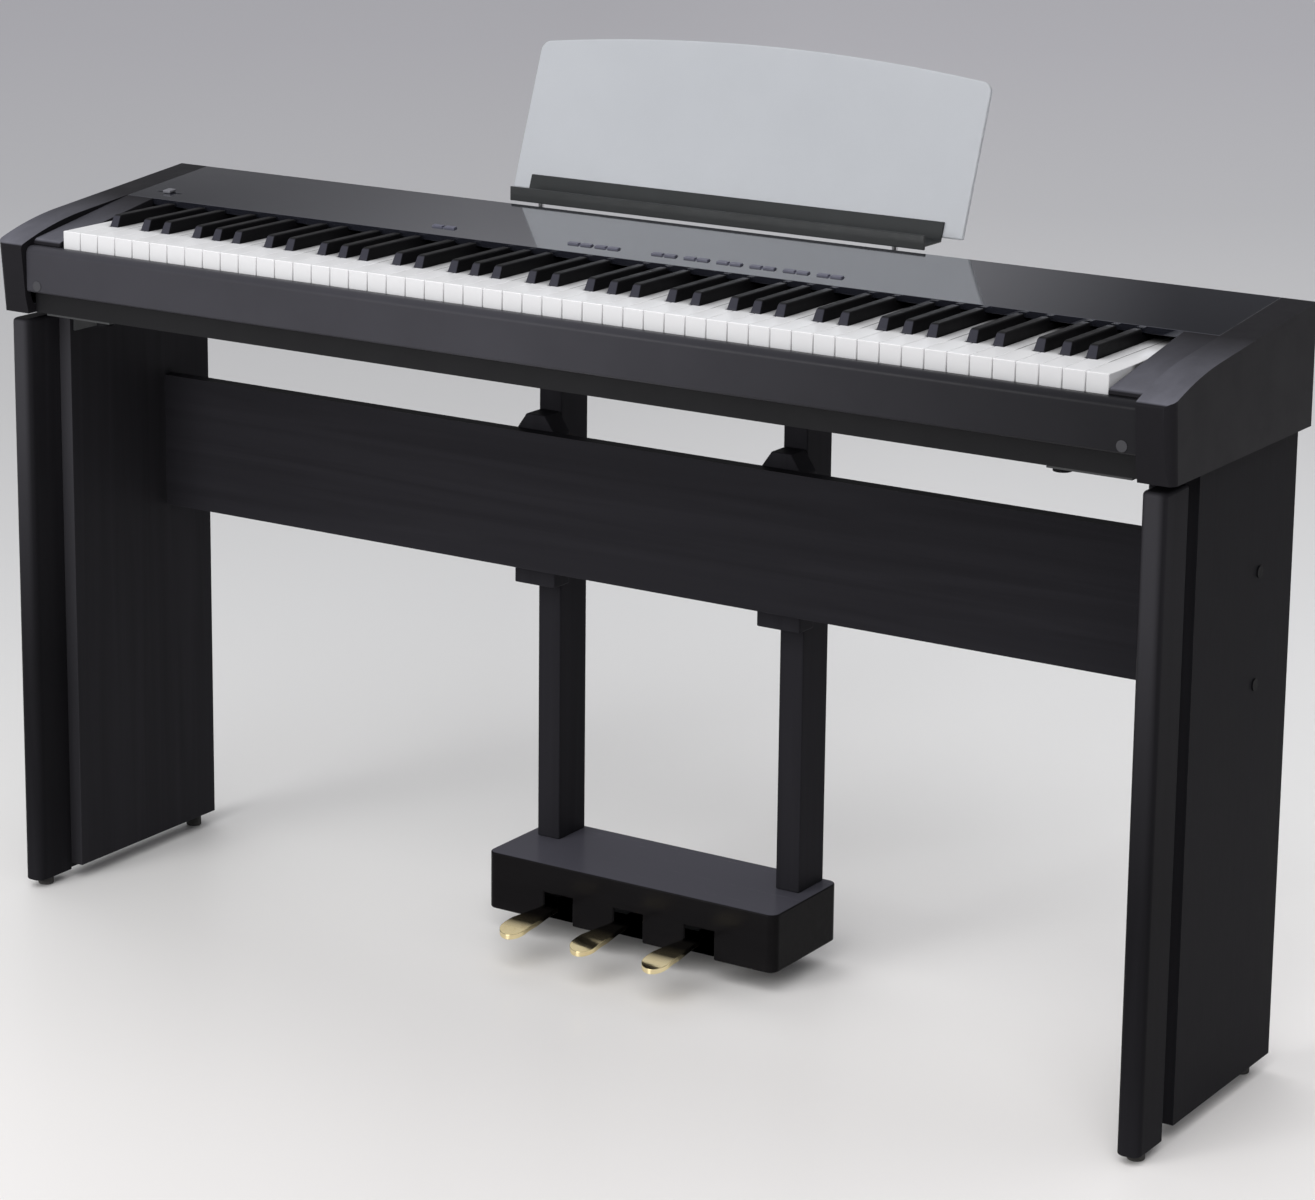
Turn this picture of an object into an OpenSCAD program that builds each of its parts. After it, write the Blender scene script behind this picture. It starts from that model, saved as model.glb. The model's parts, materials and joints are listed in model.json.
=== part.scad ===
// Digital piano on its stand: 88-key case, clear music rest, board-leg stand and three-pedal unit.
// Millimetres, +Z up, +X to the treble end, -Y towards the player.
// The origin is on the floor, under the middle of the overall box.

/* [Keyboard] */
// Distance from one white key to the next
key_pitch = 23.55; // [23:0.05:24]
// Gap between two neighbouring white keys
key_gap = 0.8; // [0.8:0.1:1.6]
// Gap between a black key and the white keys beside it
black_gap = 1; // [0.8:0.1:1.4]
// Length of a white key's wide head
head_len = 50; // [46:1:54]
// Length of a key that shows in front of the control panel
key_show = 149; // [140:1:156]
// Whole length of a key
key_len = 250; // [244:1:256]
// Thickness of a key
key_t = 15; // [12:0.5:18]
// Height of a white key's front face
key_face = 21; // [19:0.5:24]
// Distance from a key's front to its pivot
key_pivot = 235; // [230:1:238]
// How far a key's front goes down
key_dip = 10; // [8:0.5:11]
// Width of a black key at its foot
black_w = 11; // [9.5:0.1:12]
// Width of a black key at its top
black_top_w = 9; // [8:0.1:9.4]
// Height of a black key above the white keys
black_rise = 12; // [10:0.5:12.5]
// Radius of the ridge that the keys turn on
ridge_r = 4; // [3:0.5:5]

/* [Case] */
// Height of the white keys' tops above the case's underside
key_level = 91; // [89:0.5:94]
// How far the case's front stands before the keys
front_reach = 17; // [15:1:24]
// Depth of the case
body_d = 302; // [295:1:320]
// Thickness of an end cap
cap_w = 36; // [24:1:45]
// Width of the block between the keys and an end cap
block_w = 36.5; // [30:0.5:45]
// Gap between the keys and a block
block_gap = 1.2; // [1:0.1:2]
// Side wall of the hollow end caps
cap_wall = 4; // [3:0.5:6]
// Wall round the edge of the end caps
cap_edge = 9; // [7:0.5:12]
// Height of the case at the control panel's front edge
panel_front_h = 105.6; // [105:0.2:108]
// Slope of the control panel
panel_slope = 5.85; // [4:0.05:8]
// Thickness of the control panel
panel_t = 3.5; // [3:0.1:4]
// Radius of the end caps' long front curve
cap_curve_r = 400; // [300:10:600]
// Radius of the end caps' upper front corner
cap_corner_r = 5; // [3:0.5:10]
// How far the end caps stand out before the key slip
cap_out = 7; // [5:0.5:9]
// Lean of the end caps' front faces
cap_lean = 5.5; // [2:0.5:8]
// Height of the end caps' chin, where the front turns further back
cap_chin = 19; // [15:1:24]
// How far back the chin goes
cap_under = 4.5; // [2:0.5:8]
// Radius of the end caps' upright front edge, seen from above
cap_edge_r = 13; // [8:0.5:14]
// Thickness of the key slip, the rail before the keys
slip_t = 14; // [11:0.5:14]
// Height of the key slip's top above the case's underside
slip_top = 73; // [70:0.5:74]
// Height of the key slip's lower edge above the case's underside
slip_bottom = 24; // [18:0.5:30]
// Radius of the key slip's upper front edge
slip_r = 8; // [4:0.5:10]
// Thickness of the bottom case and the rear panel
case_t = 4; // [3:0.5:5]
// Diameter of the caps over the key slip's screws
slip_cap_d = 11; // [8:0.5:14]
// How far those caps stand out
slip_cap_out = 0.8; // [0.4:0.1:1.5]

/* [Controls] */
// Length of a rocker button
rocker_len = 28; // [24:0.5:31]
// Width of a rocker button
rocker_w = 5.5; // [4.5:0.5:8]
// Height of a rocker button above the panel
rocker_rise = 1.6; // [1:0.1:2.4]
// Distance between the rocker buttons of the row
rocker_step = 38.6; // [36:0.2:42]
// Distance of the buttons behind the panel's front edge
control_in = 27; // [20:1:40]
// Gap round a button
button_gap = 0.6; // [0.5:0.1:0.8]
// How far a rocker tilts either way
rocker_tilt = 3; // [2:0.5:4]
// Travel of the volume knob to either side
volume_travel = 14; // [10:1:16]

/* [Music rest] */
// Width of the clear music panel
rest_w = 550; // [480:5:600]
// Height of the music panel along its middle
rest_h = 184; // [160:1:200]
// How far the middle of its top stands above its corners
rest_arch = 17; // [10:1:24]
// Thickness of the music panel
rest_t = 5; // [4:0.5:6]
// Lean of the music panel
rest_lean = 20; // [15:1:25]
// Radius of the music panel's upper corners
rest_corner_r = 12; // [8:1:20]
// Width of the ledge that carries the music
ledge_w = 505; // [440:1:530]
// Depth of the ledge
ledge_d = 36; // [30:1:44]
// Height of the ledge's front lip
lip_h = 12; // [8:1:16]
// How far that lip hangs below the ledge's floor
lip_drop = 3; // [0:0.5:5]
// Height of the ledge's back plate
plate_h = 21; // [18:1:26]
// Thickness of the ledge's sheet
ledge_t = 2.5; // [2:0.5:3]
// Gap between the case's back and the ledge
ledge_gap = 23; // [20:1:30]
// Height of the ledge above the case's top edge
ledge_rise = 1.5; // [1:0.5:6]
// Diameter of the rods that carry the ledge
rod_d = 6; // [5:0.5:8]
// Distance between the two rods
rod_span = 432; // [380:1:440]

/* [Stand] */
// Height of the case's underside above the floor
stand_h = 646; // [600:1:700]
// Width of the stand over its legs
stand_w = 1354; // [1340:1:1364]
// Thickness of a leg's outer board
outer_t = 19; // [18:0.5:24]
// Thickness of a leg's inner board
inner_t = 20; // [16:0.5:26]
// Depth of a leg's front pillar
pillar_d = 51.6; // [40:0.2:60]
// Thickness of a leg's front pillar
pillar_t = 24; // [18:0.5:24]
// How far the pillar stands behind the case's front
pillar_in = 2.4; // [0:0.2:10]
// Radius of the pillar's front edges
pillar_r = 9; // [5:0.5:11]
// Gap between the case and the pillar's top
pillar_gap = 7.5; // [4:0.5:12]
// Width of the groove between the pillar and the outer board
groove_w = 23; // [16:0.5:30]
// Depth of that groove
groove_deep = 13; // [8:0.5:16]
// Depth of a leg's outer board
outer_d = 216; // [200:1:220]
// Depth of a leg's inner board
inner_d = 231; // [215:1:239]
// Height of the pillars' lower ends above the floor
pillar_foot = 9; // [6:0.5:15]
// Height of the boards' lower ends above the floor
board_foot = 16.5; // [10:0.5:25]
// Distance of the front glides behind the pillars' front
glide_in = 22; // [15:0.5:30]
// Diameter of the glides
glide_d = 17; // [14:0.5:20]
// Height of the beam between the legs
beam_h = 148; // [120:1:180]
// Thickness of that beam
beam_t = 16; // [15:0.5:22]
// Height of the beam's lower edge above the floor
beam_z = 397; // [360:1:430]
// Distance of the beam behind the keys' front
beam_in = 192; // [170:1:196]

/* [Pedals] */
// Width of a post
post_w = 28; // [20:1:32]
// Depth of a post
post_d = 50; // [36:1:52]
// Distance over the two posts
post_span = 328; // [300:2:340]
// Depth of the clamps between the beam and the posts
clamp_t = 28; // [20:1:32]
// Width of a clamp
clamp_w = 51; // [44:1:60]
// Width of the pedal box
box_w = 358; // [350:2:380]
// Depth of the pedal box
box_d = 128; // [124:1:140]
// Height of the pedal box
box_h = 63; // [60:1:75]
// Height of the pedal box above the floor
box_z = 25; // [20:1:30]
// Wall of the pedal box
box_wall = 3.5; // [3:0.5:4]
// Radius of the pedal box's upright corners
box_r = 10; // [6:1:14]
// Distance from one pedal to the next
pedal_step = 88; // [80:1:98]
// Width of a pedal at its tip
pedal_w = 30; // [26:1:34]
// Thickness of a pedal
pedal_t = 5; // [4:0.5:7]
// How far the pedals reach out of the box
pedal_reach = 96; // [85:1:110]
// How far a pedal's tip goes down
pedal_dip = 14; // [10:0.5:15]
// Diameter of the pedals' axle
axle_d = 8; // [7:0.5:9]

/* [Hidden] */
$fn = 48;
eps = 0.01;
clear = 0.3;
running = 0.05;
hole_clear = 0.1;
seam = 0.2;

// Colours
satin_black = [0.12, 0.12, 0.13];
panel_black = [0.2, 0.2, 0.22];
key_white = [0.93, 0.93, 0.9];
key_black = [0.1, 0.1, 0.1];
brass = [0.8, 0.68, 0.35];
steel = [0.6, 0.6, 0.62];
dark_grey = [0.25, 0.25, 0.27];
board_green = [0.1, 0.32, 0.2];
clear_grey = [0.8, 0.85, 0.88, 0.5];
felt_red = [0.4, 0.08, 0.08];

// Places along Y
rest_back = seam + rest_h * sin(rest_lean) + rest_t * cos(rest_lean);
overall_d = cap_out + body_d + ledge_gap + ledge_d + rest_back;
front_y = cap_out - overall_d / 2;
back_y = front_y + body_d;
key_y = front_y + front_reach;
panel_y = key_y + key_show;
pivot_y = key_y + key_pivot;
pillar_y = front_y + pillar_in;
board_y = pillar_y + pillar_d;
beam_y = key_y + beam_in;
clamp_y = beam_y + beam_t;
post_y = clamp_y + clamp_t;
box_back_y = post_y + post_d + box_wall + 2;
box_y = box_back_y - box_d;

// Places along X
white_count = 52;
keys_w = white_count * key_pitch;
block_x = keys_w / 2 + block_gap;
cap_x = block_x + block_w;
body_w = 2 * (cap_x + cap_w);
stand_x = stand_w / 2;
joint_x = stand_x - outer_t;
inner_x = joint_x - inner_t;
post_x = post_span / 2 - post_w;
clamp_x = post_span / 2 - post_w / 2;

// Places along Z
key_z = stand_h + key_level;
key_low_z = key_z - key_t;
panel_z = stand_h + panel_front_h;
top_back_z = panel_z + (back_y - panel_y) * tan(panel_slope);
ledge_z = top_back_z + ledge_rise;
ledge_y = back_y + ledge_gap;
case_drop = panel_front_h + 20;
post_z = box_z + box_h;

// Keyboard layout: a note's place in its octave counts white keys from C.
// A black key stands off the line between its white neighbours by a share of the pitch.
whites = ["c", "d", "e", "f", "g", "a", "b"];
black_off = [-0.085, 0.085, undef, -0.127, 0, 0.127, undef];
white_first = [0, 0, 0, 0, 0, -1, -1];

function arc(cy, cz, r, a0, a1, n) =
    [for (i = [0 : n]) let (a = a0 + (a1 - a0) * i / n) [cy + r * cos(a), cz + r * sin(a)]];
function key_line(octave, place) = (2 + 7 * octave + place) * key_pitch - keys_w / 2;
function panel_top(y) = panel_z + (y - panel_y) * tan(panel_slope);

// Extrudes a (Y, Z) outline along X, from x0 to x1
module along_x(x0, x1) {
    translate([x0, 0, 0]) rotate([90, 0, 90]) linear_extrude(height = x1 - x0) children();
}

// A rectangle in plan with rounded corners, front only or all round
module round_plan(w, d, r, back = true) {
    union() {
        translate([-w / 2 + r, 0]) square([w - 2 * r, d]);
        translate([-w / 2, r]) square([w, back ? d - 2 * r : d - r]);
        for (x = [-1, 1], y = back ? [r, d - r] : [r]) translate([x * (w / 2 - r), y]) circle(r);
    }
}

// Places children in the control panel's own frame: X, depth behind its front edge, height above it
module on_panel() {
    translate([0, panel_y, panel_z]) rotate([panel_slope, 0, 0]) children();
}

// ---- Keyboard ----

tail_low = key_low_z;
groove_r = ridge_r + clear;

module key_groove(x0, x1) {
    translate([x0 - 1, pivot_y, tail_low]) rotate([0, 90, 0]) cylinder(r = groove_r, h = x1 - x0 + 2);
}

// One white key; left and right say how far the tail is cut in on each side
module white_key(x0, cut_left, cut_right) {
    x1 = x0 + key_pitch;
    a = x0 + key_gap / 2;
    b = x1 - key_gap / 2;
    t0 = max(a, x0 + cut_left);
    t1 = min(b, x1 - cut_right);
    difference() {
        union() {
            translate([a, key_y, key_low_z]) cube([b - a, head_len, key_t]);
            translate([a, key_y, key_z - key_face]) cube([b - a, 3, key_face]);
            translate([t0, key_y + head_len - eps, tail_low]) cube([t1 - t0, key_len - head_len + eps, key_t]);
        }
        key_groove(t0, t1);
    }
}

// One black key on the middle line x
module black_key(x) {
    y0 = key_y + head_len + black_gap;
    y1 = key_y + key_show - 2;
    top = key_z + black_rise;
    difference() {
        intersection() {
            along_x(x - black_w / 2, x + black_w / 2)
                polygon([
                    [y0, tail_low], [y0, key_z + 1], [y0 + 5, top - 1.5], [y0 + 8, top], [y1, top],
                    [y1, key_z + 6], [key_y + key_len, key_z + 6], [key_y + key_len, tail_low]
                ]);
            translate([x, key_y, 0]) rotate([90, 0, 180])
                linear_extrude(height = key_len + 1)
                    polygon([
                        [-black_w / 2, tail_low], [black_w / 2, tail_low], [black_w / 2, key_z],
                        [black_top_w / 2, top], [-black_top_w / 2, top], [-black_w / 2, key_z]
                    ]);
        }
        key_groove(x - black_w / 2, x + black_w / 2);
    }
}

// How far a black key on a line reaches over the white key at its left (side -1) or right (side 1)
function black_cut(place, side) =
    black_off[place] == undef ? 0 : side * black_off[place] * key_pitch + black_w / 2 + black_gap;

// All white keys of one note; place 0 is C and 6 is B
module white_keys(place) {
    color(key_white)
        for (octave = [white_first[place] : 7]) {
            x0 = key_line(octave, place);
            top_note = octave == 7;
            low_note = octave == -1 && place == 5;
            if (octave < 7 || place == 0)
                white_key(
                    x0,
                    low_note || top_note || place == 0 || place == 3 ? 0 : black_cut(place - 1, 1),
                    top_note ? 0 : black_cut(place, -1)
                );
        }
}

// All black keys just above one white note
module black_keys(place) {
    color(key_black)
        for (octave = [place == 5 ? -1 : 0 : 6])
            black_key(key_line(octave, place + 1) + black_off[place] * key_pitch);
}

// ---- Case ----

// Outline of an end cap seen from the side, drawn in by a wall
function cap_outline(wall) =
    let (
        run = 75,
        ty = key_y + run,
        tz = panel_top(ty),
        r = cap_curve_r - wall,
        cy = ty + cap_curve_r * sin(panel_slope),
        cz = tz - cap_curve_r * cos(panel_slope),
        rc = max(cap_corner_r - wall, 0.5),
        // centre of the corner arc: inside the front line and the long curve
        ky = front_y - cap_out + wall + rc,
        kz = cz + sqrt((r - rc) * (r - rc) - (ky - cy) * (ky - cy)),
        a_end = atan2(kz - cz, ky - cy),
        // where the front starts to lean, and its chin
        sy = ky + rc * cos(180 + cap_lean),
        sz = kz + rc * sin(180 + cap_lean),
        chin_z = stand_h + max(cap_chin, wall + 2),
        chin_y = sy + (sz - chin_z) * tan(cap_lean)
    )
    concat(
        [[back_y - wall, stand_h + wall], [chin_y + cap_under, stand_h + wall], [chin_y, chin_z]],
        arc(ky, kz, rc, 180 + cap_lean, a_end, 6),
        [for (p = arc(cy, cz, r, a_end, 90 + panel_slope, 14)) if (p[0] > ky) p],
        [[back_y - wall, panel_top(back_y - wall) - wall / cos(panel_slope)]]
    );

// Takes the corner off the end cap's upright front edge and leaves it round
module cap_edge_cut() {
    r = cap_edge_r;
    over = 0.15;
    fy = cap_outline(0)[2][0] + (cap_outline(0)[2][1] - panel_z) * tan(cap_lean);
    translate([body_w / 2 + over - r, fy - over * 2, panel_z])
        rotate([cap_lean, 0, 0])
            translate([0, r, -case_drop])
                difference() {
                    translate([0, -r - 2, 0]) cube([r + 2, r + 2, case_drop + 20]);
                    translate([0, 0, -1]) cylinder(r = r, h = case_drop + 22, $fn = 96);
                }
}

module end_cap(side) {
    color(satin_black)
        mirror([side < 0 ? 1 : 0, 0, 0])
            difference() {
                along_x(cap_x, cap_x + cap_w) polygon(cap_outline(0));
                along_x(cap_x - 1, cap_x + cap_w - cap_wall) polygon(cap_outline(cap_edge));
                cap_edge_cut();
            }
}

block_low = stand_h + slip_top + 0.8;

// Blocks that fill the ends of the key opening, with a rounded nose over the key slip
module key_blocks() {
    nose = 7;
    nose_y = key_y + 2;
    slope = atan2(panel_z - stand_h - slip_top - nose, panel_y - nose_y);
    outline = concat(
        [[panel_y, block_low]],
        arc(nose_y, stand_h + slip_top, nose, 180 - asin(0.8 / nose), 90 + slope, 8),
        [[panel_y, panel_z]]
    );
    color(satin_black)
        for (side = [0, 1])
            mirror([side, 0, 0])
                along_x(block_x, cap_x) polygon(outline);
}

module bottom_case() {
    y0 = key_y - (front_reach - slip_t);
    color(satin_black)
        difference() {
            union() {
                translate([-cap_x, y0, stand_h]) cube([2 * cap_x, back_y - y0, case_t]);
                translate([-cap_x, y0, stand_h]) cube([2 * cap_x, case_t - 1, slip_top - key_face + 2]);
                for (s = [-1, 1])
                    translate([s * (block_x + block_w / 2) - block_w / 2, y0, stand_h])
                        cube([block_w, key_show, block_low - stand_h]);
            }
            // the boxes under the key blocks are hollow and open at the back
            for (s = [-1, 1])
                translate([s * (block_x + block_w / 2) - block_w / 2 + 3, y0 + 3, stand_h + case_t])
                    cube([block_w - 6, key_show, block_low - stand_h - case_t - 3]);
            // slots under the speakers
            for (s = [-1, 1], i = [-4 : 4])
                translate([s * speaker_x - speaker_d * 0.4, speaker_y + i * 9 - 2, stand_h - 1])
                    cube([speaker_d * 0.8, 4, case_t + 2]);
            bracket_screws(bracket_screw_d / 2 + hole_clear);
        }
}

module key_slip() {
    y0 = front_y;
    z0 = stand_h + slip_bottom;
    z1 = stand_h + slip_top;
    color(satin_black)
        along_x(-cap_x + seam, cap_x - seam)
            polygon(concat(
                [[y0 + slip_t, z1], [y0 + slip_t, z0], [y0 + 2, z0], [y0, z0 + 2]],
                arc(y0 + slip_r, z1 - slip_r, slip_r, 180, 90, 8)
            ));
}

module screw_caps() {
    color(steel)
        for (s = [-1, 1])
            translate([s * (cap_x - 15), front_y, stand_h + slip_bottom + 7.5])
                rotate([90, 0, 0]) cylinder(d = slip_cap_d, h = slip_cap_out);
}

// Middles of the rocker buttons: one to the left, two near the middle and a row of six
rocker_xs = concat([-243.5, -73, -40], [for (k = [0 : 5]) 28.5 + k * rocker_step]);
rocker_y = control_in;
volume_x = -cap_x + 37;
volume_stem = 4;
volume_slot = 2 * volume_travel + volume_stem + 2;

module top_panel() {
    lip = 3;
    drop = 3.4;
    color(panel_black)
        difference() {
            union() {
                along_x(-cap_x + seam, cap_x - seam)
                    polygon([
                        [panel_y, panel_z], [back_y, top_back_z], [back_y, top_back_z - panel_t],
                        [panel_y, panel_z - panel_t]
                    ]);
                translate([-block_x, panel_y, panel_z - panel_t - drop]) cube([2 * block_x, lip, drop + 1]);
            }
            on_panel() {
                for (x = rocker_xs)
                    translate([x - rocker_len / 2 - button_gap, rocker_y - rocker_w / 2 - button_gap, -9])
                        cube([rocker_len + 2 * button_gap, rocker_w + 2 * button_gap, 20]);
                translate([volume_x - volume_slot / 2, rocker_y - 1.5, -9]) cube([volume_slot, 3, 20]);
            }
        }
}

// A two-way button: two pads with a dip between them, on one cap that rocks on a pin under the panel
module rocker(i) {
    pin_r = 1;
    pin_z = -panel_t - clear - pin_r;
    color(dark_grey)
        on_panel()
            translate([rocker_xs[i], rocker_y, 0])
                union() {
                    difference() {
                        translate([-rocker_len / 2, -rocker_w / 2, -panel_t])
                            cube([rocker_len, rocker_w, panel_t + rocker_rise]);
                        translate([-1.5, -rocker_w, 0]) cube([3, 2 * rocker_w, rocker_rise + 1]);
                    }
                    translate([-pin_r, -rocker_w / 2, pin_z]) cube([2 * pin_r, rocker_w, -panel_t - pin_z + eps]);
                    translate([0, -rocker_w / 2 - 2, pin_z]) rotate([-90, 0, 0]) cylinder(r = pin_r, h = rocker_w + 4);
                }
}

module volume_knob() {
    knob_l = 10;
    knob_w = 11;
    color(steel)
        on_panel()
            translate([volume_x, rocker_y, 0]) {
                translate([-volume_stem / 2, -1.2, -panel_t - 3]) cube([volume_stem, 2.4, panel_t + 3 + clear + 1]);
                translate([-knob_l / 2, -knob_w / 2, clear]) cube([knob_l, knob_w, 3]);
            }
}

socket_x = [-320, -380];
socket_z = stand_h + 40;
socket_r = [2.75, 3.25];
socket_len = [10, 14];
socket_w = 16;

module rear_panel() {
    z1 = panel_top(back_y - case_t) - panel_t - seam;
    color(satin_black)
        difference() {
            translate([-cap_x + seam, back_y - case_t, stand_h + case_t])
                cube([2 * (cap_x - seam), case_t, z1 - stand_h - case_t]);
            for (x = socket_x)
                translate([x - socket_w / 2 - clear, back_y - case_t - 1, socket_z - socket_w / 2 - clear])
                    cube([socket_w + 2 * clear, case_t + 2, socket_w + 2 * clear]);
            block_screws(block_screw_d / 2 + hole_clear);
        }
}

// Two sockets in the rear panel: the power inlet and the pedal lead's jack
module rear_sockets() {
    color(dark_grey)
        for (i = [0, 1])
            difference() {
                translate([socket_x[i] - socket_w / 2, back_y - 22, socket_z - socket_w / 2])
                    cube([socket_w, 22, socket_w]);
                translate([socket_x[i], back_y + 1, socket_z])
                    rotate([90, 0, 0]) cylinder(r = socket_r[i], h = socket_len[i] + 1);
            }
}

rail_w = 16;
felt_t = 3;
front_rail_y = key_y + 18;
front_rail_z = key_low_z - key_dip * (key_pivot - 18) / key_pivot - felt_t - 0.6;
rear_rail_y = pivot_y - 9;
rear_rail_z = key_low_z - 22;
frame_x = keys_w / 2 - 2;

// Channel rails under the keys' fronts and pivots, tied by ribs
module key_frame() {
    z0 = stand_h + case_t;
    wall = 2.5;
    color(steel)
        difference() {
            union() {
                translate([-frame_x, front_rail_y, z0]) cube([2 * frame_x, rail_w, front_rail_z - z0]);
                translate([-frame_x, rear_rail_y, z0]) cube([2 * frame_x, rail_w + 8, rear_rail_z - z0]);
                for (x = [-frame_x, -207, -2, 203, frame_x - 4])
                    translate([x, front_rail_y, z0]) cube([4, rear_rail_y - front_rail_y + 1, 34]);
            }
            translate([-frame_x - 1, front_rail_y + wall, z0 - 1])
                cube([2 * frame_x + 2, rail_w - 2 * wall, front_rail_z - z0 - wall + 1]);
            translate([-frame_x - 1, rear_rail_y + wall, z0 - 1])
                cube([2 * frame_x + 2, rail_w + 8 - 2 * wall, rear_rail_z - z0 - wall + 1]);
        }
}

// The rail whose round top the keys turn on
module pivot_rail() {
    web = 6;
    color(steel)
        union() {
            translate([-frame_x, pivot_y - web / 2, rear_rail_z]) cube([2 * frame_x, web, tail_low - rear_rail_z]);
            translate([-frame_x, pivot_y, tail_low]) rotate([0, 90, 0]) cylinder(r = ridge_r, h = 2 * frame_x);
        }
}

// Felt strips that the keys land on: one under their fronts, one under their back ends
module key_felts() {
    color(felt_red) {
        translate([-frame_x, front_rail_y, front_rail_z]) cube([2 * frame_x, rail_w, felt_t]);
        translate([-frame_x, pivot_y + 8, rear_rail_z])
            cube([2 * frame_x, key_len - key_pivot - 8, tail_low - clear - rear_rail_z]);
    }
}

module main_board() {
    board = [180, 110, 1.6];
    leg_h = 6;
    z0 = stand_h + case_t;
    color(board_green)
        translate([13, key_y + 60, z0]) {
            translate([0, 0, leg_h]) cube(board);
            for (x = [5, board[0] - 5], y = [5, board[1] - 5]) translate([x, y, 0]) cylinder(r = 3, h = leg_h + eps);
            translate([60, 40, leg_h + 1.6 - eps]) cube([28, 28, 3]);
            translate([110, 30, leg_h + 1.6 - eps]) cube([20, 14, 3]);
            for (i = [0 : 3]) translate([20 + i * 9, 90, leg_h + 1.6 - eps]) cylinder(r = 3.5, h = 9);
        }
}

// The circuit board under the buttons, hung from the panel
module panel_board() {
    w = rocker_xs[8] - rocker_xs[0] + 60;
    board_t = 1.6;
    board_gap = 3;
    color(board_green)
        on_panel()
            translate([rocker_xs[0] - 30, rocker_y - 12, -panel_t - board_gap - board_t]) {
                cube([w, 34, board_t]);
                for (x = [4, w - 4]) translate([x, 29, board_t - eps]) cylinder(r = 2.5, h = board_gap + eps);
            }
}

speaker_d = 100;
speaker_x = 400;
speaker_y = key_y + 120;

// Round drivers that face down through the bottom case's slots
module speakers() {
    z0 = stand_h + case_t;
    color(dark_grey)
        for (s = [-1, 1])
            translate([s * speaker_x, speaker_y, z0])
                difference() {
                    union() {
                        cylinder(d = speaker_d, h = 4);
                        cylinder(d1 = speaker_d - 12, d2 = 50, h = 26);
                        translate([0, 0, 26 - eps]) cylinder(d = 56, h = 14);
                    }
                    translate([0, 0, -1]) cylinder(d1 = speaker_d - 18, d2 = 40, h = 20);
                }
}

// ---- Music rest ----

// Sheet profile: front lip, floor and a leaning back plate
module music_ledge() {
    y0 = ledge_y;
    z0 = ledge_z;
    t = ledge_t;
    yb = ledge_y + ledge_d;
    dy = plate_h * sin(rest_lean);
    dz = plate_h * cos(rest_lean);
    tn = t / cos(rest_lean);
    color(satin_black)
        along_x(-ledge_w / 2, ledge_w / 2)
            polygon([
                [yb, z0], [yb + dy, z0 + dz], [yb + dy - tn, z0 + dz],
                [yb - tn + t * tan(rest_lean), z0 + t], [y0 + t, z0 + t], [y0 + t, z0 + lip_h], [y0, z0 + lip_h],
                [y0, z0 - lip_drop], [y0 + t, z0 - lip_drop], [y0 + t, z0]
            ]);
}

// Clear panel with an arched top, leaning back behind the ledge's plate
module music_panel() {
    half = rest_w / 2;
    r = (half * half + rest_arch * rest_arch) / (2 * rest_arch);
    cr = rest_corner_r;
    cx = half - cr;
    cz = rest_h - r + sqrt((r - cr) * (r - cr) - cx * cx);
    start = 5;
    color(clear_grey)
        translate([0, ledge_y + ledge_d + seam, ledge_z])
            rotate([90 - rest_lean, 0, 0])
                mirror([0, 0, 1])
                    linear_extrude(height = rest_t)
                        union() {
                            translate([-half, start]) square([rest_w, cz - start]);
                            intersection() {
                                translate([0, rest_h - r]) circle(r, $fn = 360);
                                translate([-cx * r / (r - cr), start]) square([2 * cx * r / (r - cr), rest_h]);
                            }
                            for (s = [-1, 1]) translate([s * cx, cz]) circle(cr);
                        }
}

rod_y = ledge_y + ledge_t + rod_d / 2 + seam;
block = [26, rod_y - back_y + rod_d / 2 + 2.2, 22];
block_z = ledge_z - 62;
block_screw_d = 4;

module rest_rods() {
    color(steel)
        for (s = [-1, 1])
            translate([s * rod_span / 2, rod_y, block_z + 2]) cylinder(d = rod_d, h = ledge_z - block_z - 2);
}

module block_screws(r) {
    for (s = [-1, 1], dx = [-9, 9])
        translate([s * rod_span / 2 + dx, back_y - 8, block_z + block[2] / 2])
            rotate([-90, 0, 0]) cylinder(r = r, h = block[1] + 8 + eps);
}

module rest_blocks() {
    color(satin_black)
        difference() {
            for (s = [-1, 1])
                translate([s * rod_span / 2 - block[0] / 2, back_y, block_z]) cube(block);
            for (s = [-1, 1])
                translate([s * rod_span / 2, rod_y, block_z + 2]) cylinder(d = rod_d + 2 * hole_clear, h = block[2]);
            block_screws(block_screw_d / 2 + hole_clear);
        }
}

module rest_screws() {
    color(steel) {
        block_screws(block_screw_d / 2);
        for (s = [-1, 1], dx = [-9, 9])
            translate([s * rod_span / 2 + dx, back_y + block[1], block_z + block[2] / 2])
                rotate([-90, 0, 0]) cylinder(d = 7.4, h = 2.6);
    }
}

// ---- Stand ----

module side_board(side) {
    tongue_x = joint_x + (outer_t - groove_deep);
    color(satin_black)
        mirror([side < 0 ? 1 : 0, 0, 0])
            difference() {
                union() {
                    translate([0, 0, board_foot])
                        linear_extrude(height = stand_h - board_foot)
                            polygon([
                                [inner_x, board_y], [tongue_x, board_y], [tongue_x, board_y + groove_w],
                                [stand_x, board_y + groove_w], [stand_x, board_y + groove_w + outer_d],
                                [joint_x, board_y + groove_w + outer_d], [joint_x, board_y + inner_d],
                                [inner_x, board_y + inner_d]
                            ]);
                    translate([joint_x, board_y, pillar_foot])
                        cube([tongue_x - joint_x, groove_w, board_foot - pillar_foot + 1]);
                }
                beam_bolts(bolt_d / 2 + hole_clear);
            }
}

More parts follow.
